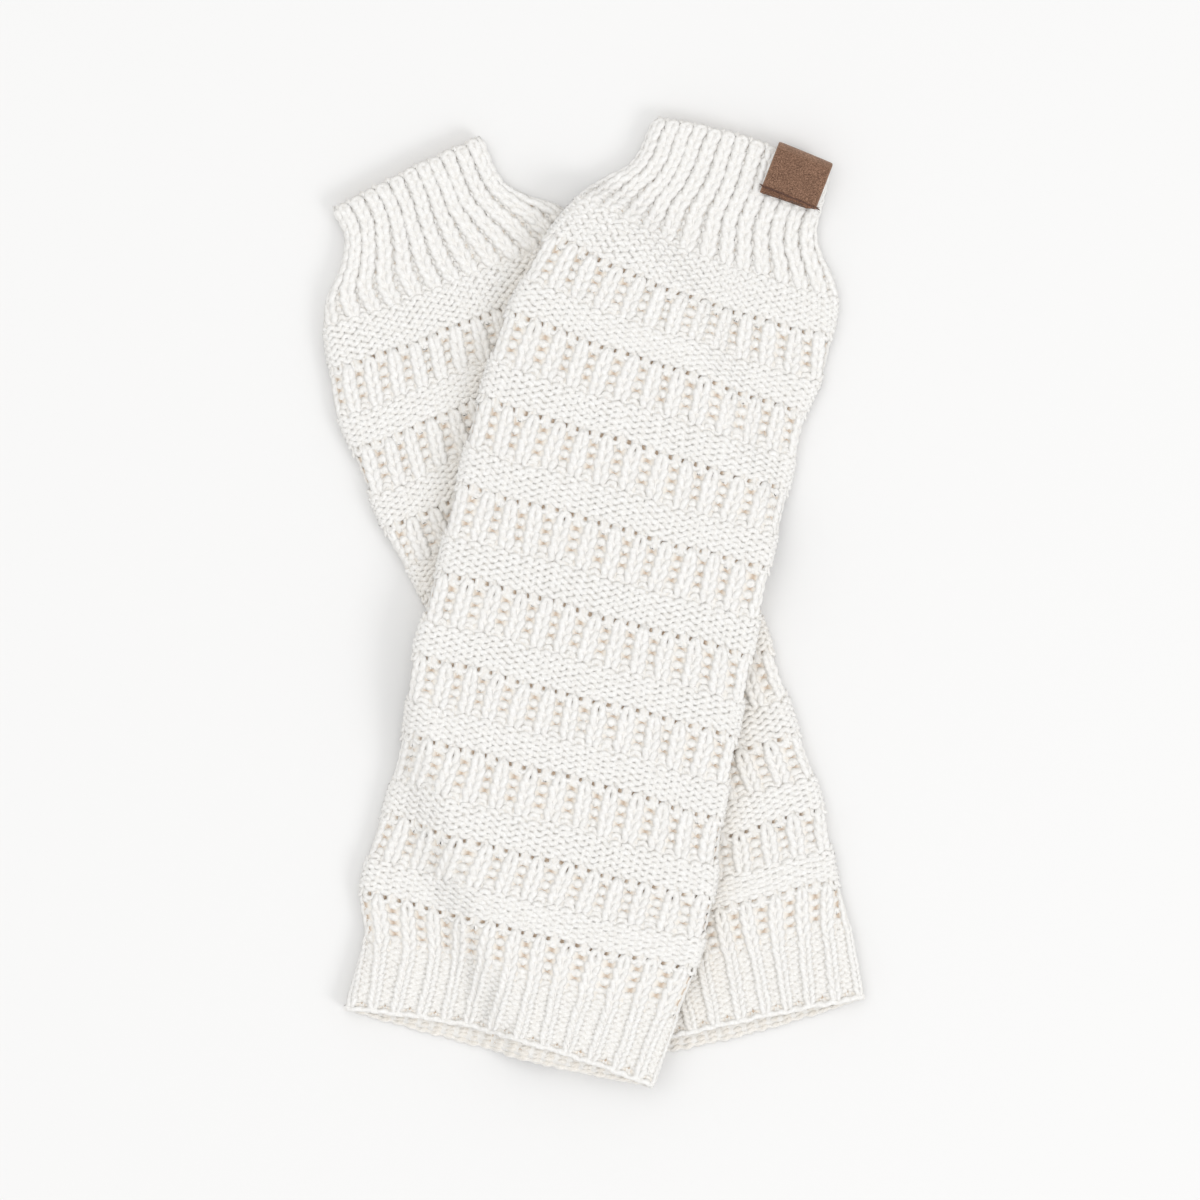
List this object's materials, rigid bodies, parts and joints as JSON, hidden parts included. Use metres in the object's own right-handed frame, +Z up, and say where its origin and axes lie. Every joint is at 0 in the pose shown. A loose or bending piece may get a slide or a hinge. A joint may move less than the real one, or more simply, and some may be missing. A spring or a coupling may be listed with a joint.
{
  "type": "pair of knitted leg warmers",
  "caption": "Pair of cream chunky-knit leg warmers with ribbed cuffs and alternating rib and purl bands, laid flat and crossed, a leather patch folded over one rim.",
  "frame": {"origin": "middle of the pair's outline seen from above, on the surface that it lies on", "axes": "+Z up out of the surface, +Y towards the top cuffs, +X to the right as seen from above"},
  "size_m": [0.2319, 0.4132, 0.0211],
  "materials": {
    "cream_knit": "soft matt chunky acrylic knit, cream white, ribs and purl bands",
    "brown_leather": "matt brown suede-like leather patch, plain, sewn with dark brown thread"
  },
  "bodies": {
    "root": {"leg_warmer_upper": "cream_knit", "leg_warmer_lower": "cream_knit", "label": "brown_leather"}
  },
  "joints": []
}
